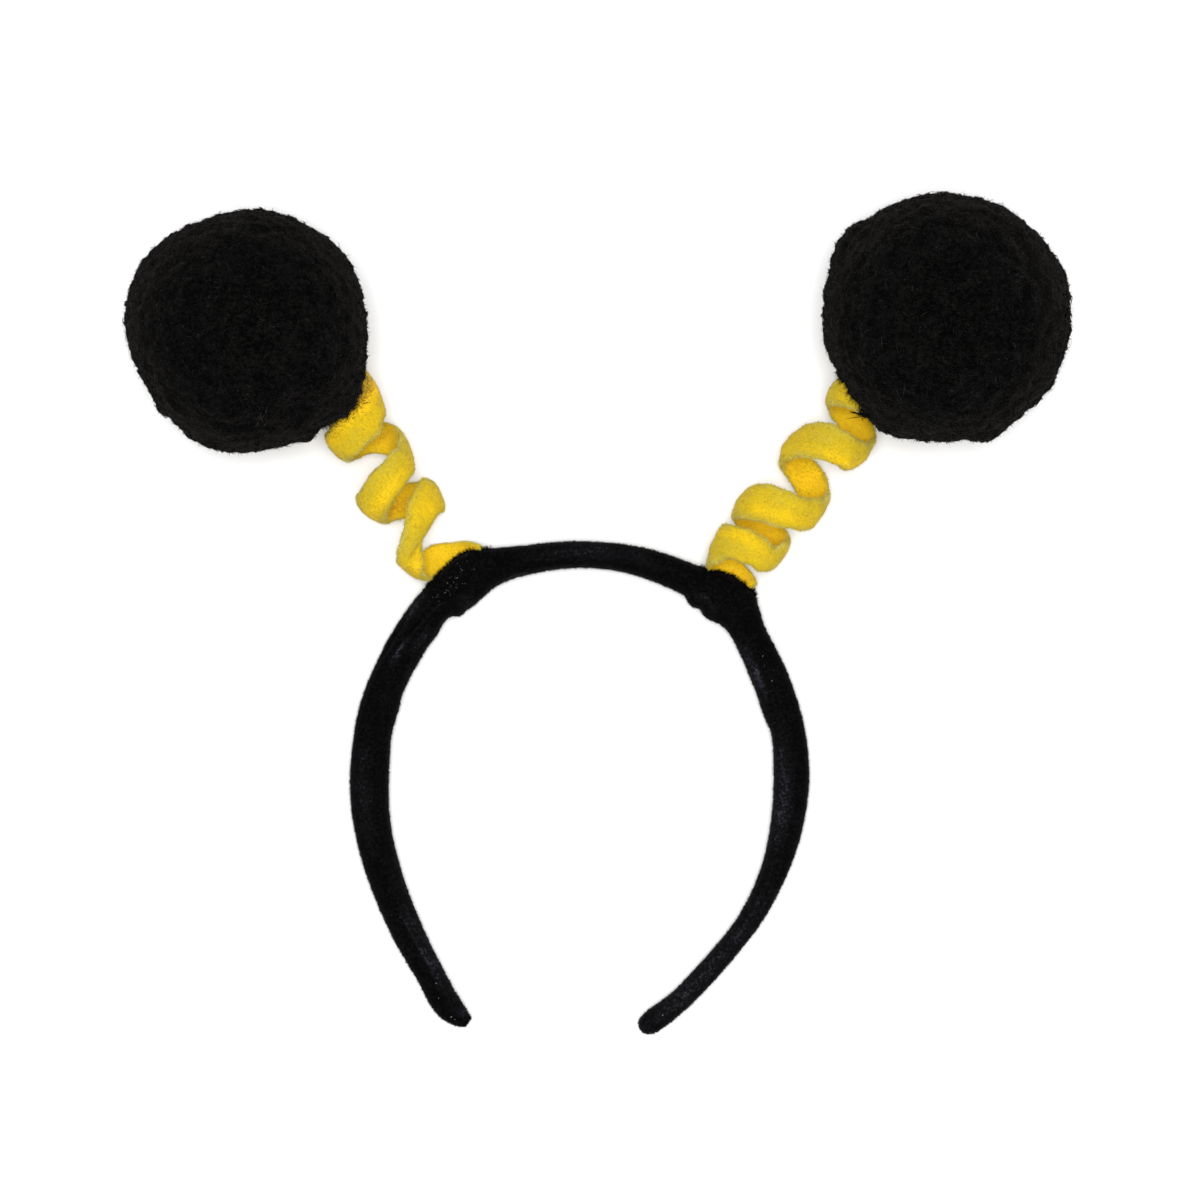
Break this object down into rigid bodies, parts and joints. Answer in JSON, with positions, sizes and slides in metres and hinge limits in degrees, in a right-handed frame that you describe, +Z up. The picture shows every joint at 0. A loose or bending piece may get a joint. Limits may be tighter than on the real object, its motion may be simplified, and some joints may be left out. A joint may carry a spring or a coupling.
{
  "type": "head bopper",
  "caption": "Velvet-covered headband lying on its side, with springy coiled velour strips that carry plush balls, worn over the head as costume antennae.",
  "frame": {"origin": "under the middle of the whole object, on the surface that it lies on", "axes": "+X from the left ball to the right one as the crown points away, +Y from the headband's tips to its crown, +Z up from the surface"},
  "size_m": [0.252, 0.2266, 0.0664],
  "materials": {
    "velvet": "short-pile black velvet with a faint sheen",
    "velour": "yellow knitted velour with a short fuzzy nap",
    "plush": "black curly plush pile"
  },
  "bodies": {
    "root": {"headband": "velvet", "coil_left": "velour", "coil_right": "velour", "pompom_left": "plush", "pompom_right": "plush"}
  },
  "joints": []
}
